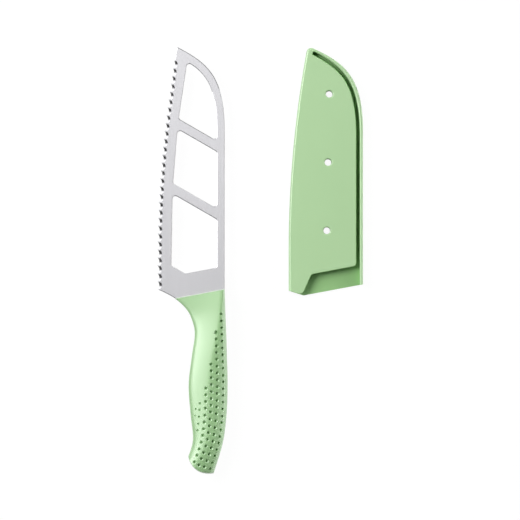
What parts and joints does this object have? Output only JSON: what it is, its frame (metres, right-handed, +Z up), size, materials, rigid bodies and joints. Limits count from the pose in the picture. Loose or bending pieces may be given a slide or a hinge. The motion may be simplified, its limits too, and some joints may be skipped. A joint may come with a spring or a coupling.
{
  "type": "serrated kitchen knife with sheath",
  "caption": "Serrated kitchen knife with a windowed steel blade, a dimpled moulded handle and a slotted plastic sheath that draws off over the tip.",
  "frame": {"origin": "centre of the box round knife and sheath as they lie side by side, on the table", "axes": "+X from the cutting edge to the spine, +Y from the butt to the tip, +Z up out of the face with the ground scallops"},
  "size_m": [0.1286, 0.2666, 0.0172],
  "materials": {
    "blade_steel": "satin, finely brushed",
    "handle_plastic": "satin pale green, moulded dimples",
    "sheath_plastic": "satin pale green"
  },
  "bodies": {
    "knife": {"blade": "blade_steel", "handle": "handle_plastic"},
    "sheath": {"sheath": "sheath_plastic"}
  },
  "joints": [
    {"name": "sheath_draw", "type": "slide", "parent": "knife", "child": "sheath", "axis": [0, 1, 0], "range_m": [0, 0.15]}
  ]
}
